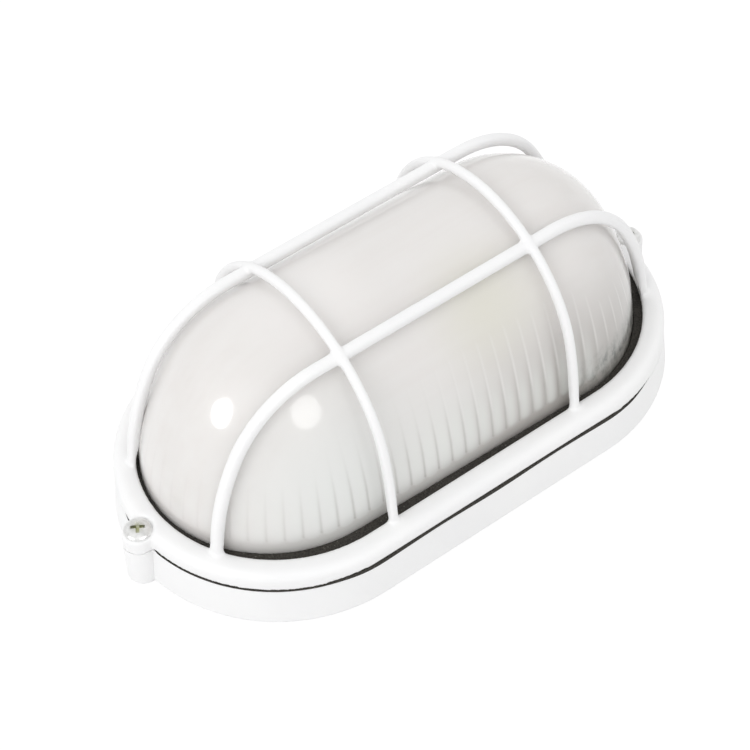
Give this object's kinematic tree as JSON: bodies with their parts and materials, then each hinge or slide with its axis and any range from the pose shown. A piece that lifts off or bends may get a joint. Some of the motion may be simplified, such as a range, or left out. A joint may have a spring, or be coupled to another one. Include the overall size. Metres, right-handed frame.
{
  "type": "sauna light",
  "caption": "Oval wall light for a sauna: shallow white cast base, ribbed glass dome on a black foam seal, and a white cast guard with crossing bars held by screws at both ends.",
  "frame": {"origin": "middle of the flat back of the base, on the wall's face", "axes": "+X along the oval towards the lampholder, +Y across it, +Z out from the wall through the top of the dome"},
  "size_m": [0.2132, 0.1106, 0.087],
  "materials": {
    "cast_white": "white powder coat on cast aluminium, slight orange peel",
    "ribbed_glass": "pressed glass, smooth outside, ribbed and frosted inside",
    "foam_rubber": "closed-cell foam, matt",
    "zinc_screw": "yellowish zinc plating",
    "grommet_rubber": "moulded rubber, satin",
    "porcelain": "glazed porcelain",
    "brass": "stamped brass",
    "bracket_steel": "bent zinc-plated sheet",
    "block_ceramic": "unglazed steatite",
    "lead_sleeve": "braided heat-proof sleeve"
  },
  "bodies": {
    "base": {"base": "cast_white", "base_gasket": "foam_rubber", "cable_grommet": "grommet_rubber", "holder_body": "porcelain", "holder_shell": "brass", "centre_contact": "brass", "holder_terminals": "brass", "holder_terminal_screws": "zinc_screw", "holder_bracket": "bracket_steel", "holder_screws": "zinc_screw", "bracket_screws": "zinc_screw", "terminal_block": "block_ceramic", "block_inserts": "brass", "block_terminal_screws": "zinc_screw", "block_screw": "zinc_screw", "earth_washer": "brass", "earth_screw": "zinc_screw", "live_lead": "lead_sleeve", "neutral_lead": "lead_sleeve"},
    "cover": {"guard": "cast_white", "glass": "ribbed_glass", "seal": "foam_rubber"},
    "screw_left": {"cover_screw_left": "zinc_screw"},
    "screw_right": {"cover_screw_right": "zinc_screw"}
  },
  "joints": [
    {"name": "cover_lift", "type": "slide", "parent": "base", "child": "cover", "axis": [0, 0, 1], "range_m": [0, 0.09]},
    {"name": "screw_left_turn", "type": "hinge", "parent": "cover", "child": "screw_left", "pos_m": [-0.1011, 0, 0.0202], "axis": [0, 0, 1], "continuous": true},
    {"name": "screw_right_turn", "type": "hinge", "parent": "cover", "child": "screw_right", "pos_m": [0.1011, 0, 0.0202], "axis": [0, 0, 1], "continuous": true}
  ]
}
